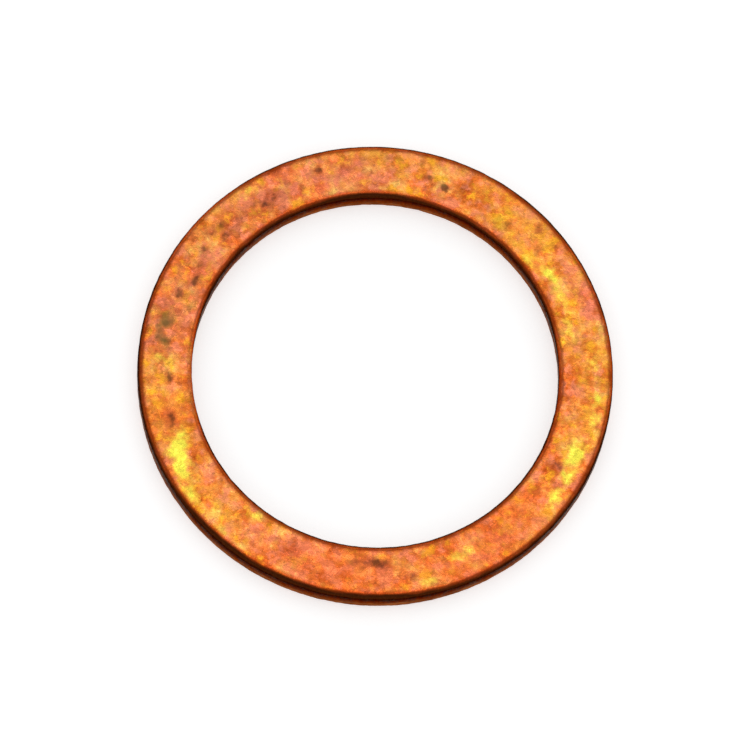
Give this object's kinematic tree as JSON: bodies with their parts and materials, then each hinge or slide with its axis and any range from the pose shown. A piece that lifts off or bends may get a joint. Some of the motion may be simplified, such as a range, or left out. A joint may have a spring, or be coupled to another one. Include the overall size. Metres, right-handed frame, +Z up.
{
  "type": "copper crush washer",
  "caption": "Flat ring of soft copper with a plain centre hole and rounded edges, crushed under a threaded plug or hollow bolt to seal oil, fuel or brake fluid.",
  "frame": {"origin": "middle of the bore, on the lower face that the ring lies on", "axes": "+Z up along the bore axis, from the lower face to the upper face with the rolled edges; X and Y are in the plane of the ring"},
  "size_m": [0.0238, 0.0238, 0.0015],
  "materials": {
    "copper": "satin annealed copper, mottled orange with golden and brown heat tints, dark brown on the blanked edges"
  },
  "bodies": {
    "root": {"washer": "copper"}
  },
  "joints": []
}
